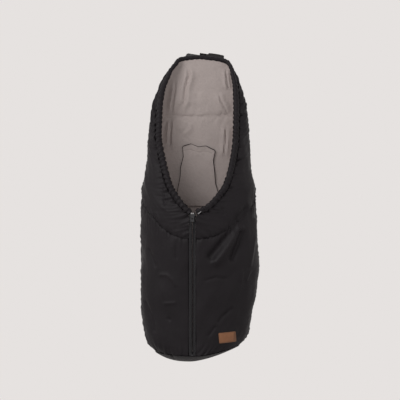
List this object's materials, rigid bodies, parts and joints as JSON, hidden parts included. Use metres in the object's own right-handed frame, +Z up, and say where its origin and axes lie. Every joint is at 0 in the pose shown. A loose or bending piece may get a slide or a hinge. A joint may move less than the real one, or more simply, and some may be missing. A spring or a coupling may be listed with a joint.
{
  "type": "stroller footmuff",
  "caption": "Padded footmuff with fleece lining, gathered oval mouth, front zip, harness flap and a strap with side-release buckle that hangs it from a bar.",
  "frame": {"origin": "the top of the bar that the strap hangs on, in the middle of the bag's width", "axes": "+Z up along the hanging bag, +Y to the bar and the bag's back, +X to the right as the front is looked at"},
  "size_m": [0.2948, 0.2357, 0.7751],
  "materials": {
    "shell_cloth": "smooth woven, slight sheen",
    "wadding": "soft fibre",
    "fleece": "brushed fleece",
    "elastic": "braided",
    "zip_tape": "woven tape",
    "zip_coil": "moulded coil",
    "dark_metal": "dark plated",
    "webbing": "ribbed webbing",
    "plastic": "satin moulded",
    "leather": "tan, matt"
  },
  "bodies": {
    "bag": {"back_lining": "fleece", "back_shell": "shell_cloth", "back_wadding": "wadding", "buckle_socket": "plastic", "elastic_cord": "elastic", "foot_gusset": "shell_cloth", "foot_lining": "fleece", "foot_wadding": "wadding", "front_lining_left": "fleece", "front_lining_right": "fleece", "front_shell_left": "shell_cloth", "front_shell_right": "shell_cloth", "front_wadding_left": "wadding", "front_wadding_right": "wadding", "head_lining": "fleece", "leather_label": "leather", "mouth_channel": "shell_cloth", "strap_left": "webbing", "strap_right": "webbing", "yoke_left": "shell_cloth", "yoke_right": "shell_cloth", "zip_bottom_stop": "dark_metal", "zip_coil_left": "zip_coil", "zip_coil_right": "zip_coil", "zip_tape_left": "zip_tape", "zip_tape_right": "zip_tape", "zip_top_stop_left": "dark_metal", "zip_top_stop_right": "dark_metal"},
    "zip_slider": {"zip_slider": "dark_metal"},
    "zip_puller": {"zip_puller": "dark_metal"},
    "buckle_plug": {"buckle_plug": "plastic"},
    "prong_left": {"buckle_prong_left": "plastic"},
    "prong_right": {"buckle_prong_right": "plastic"},
    "harness_flap": {"harness_flap_backing": "shell_cloth", "harness_flap_lining": "fleece"}
  },
  "joints": [
    {"name": "zip_slide", "type": "slide", "parent": "bag", "child": "zip_slider", "axis": [0, 0, -1], "range_m": [0, 0.336]},
    {"name": "puller_swing", "type": "hinge", "parent": "zip_slider", "child": "zip_puller", "pos_m": [-0.0166, -0.2074, -0.39781], "axis": [-1, 0, 0], "range_deg": [0, 170]},
    {"name": "buckle_release", "type": "slide", "parent": "bag", "child": "buckle_plug", "axis": [-0.9421, 0.2962, 0.1575], "range_m": [0, 0.029]},
    {"name": "prong_left_squeeze", "type": "hinge", "parent": "buckle_plug", "child": "prong_left", "pos_m": [0.0166, -0.02006, -0.00046], "axis": [0, -0.4695, 0.8829], "range_deg": [0, 6], "stiffness_Nm_per_rad": 0.05},
    {"name": "prong_right_squeeze", "type": "hinge", "parent": "buckle_plug", "child": "prong_right", "pos_m": [0.02338, -0.00326, 0.00847], "axis": [0, 0.4695, -0.8829], "range_deg": [0, 6], "stiffness_Nm_per_rad": 0.05},
    {"name": "flap_fold", "type": "hinge", "parent": "bag", "child": "harness_flap", "pos_m": [0, -0.0543, -0.371], "axis": [1, 0, 0], "range_deg": [0, 75]}
  ],
  "couplings": [
    {"joint": "prong_right_squeeze", "follows": "prong_left_squeeze", "ratio": 1}
  ]
}
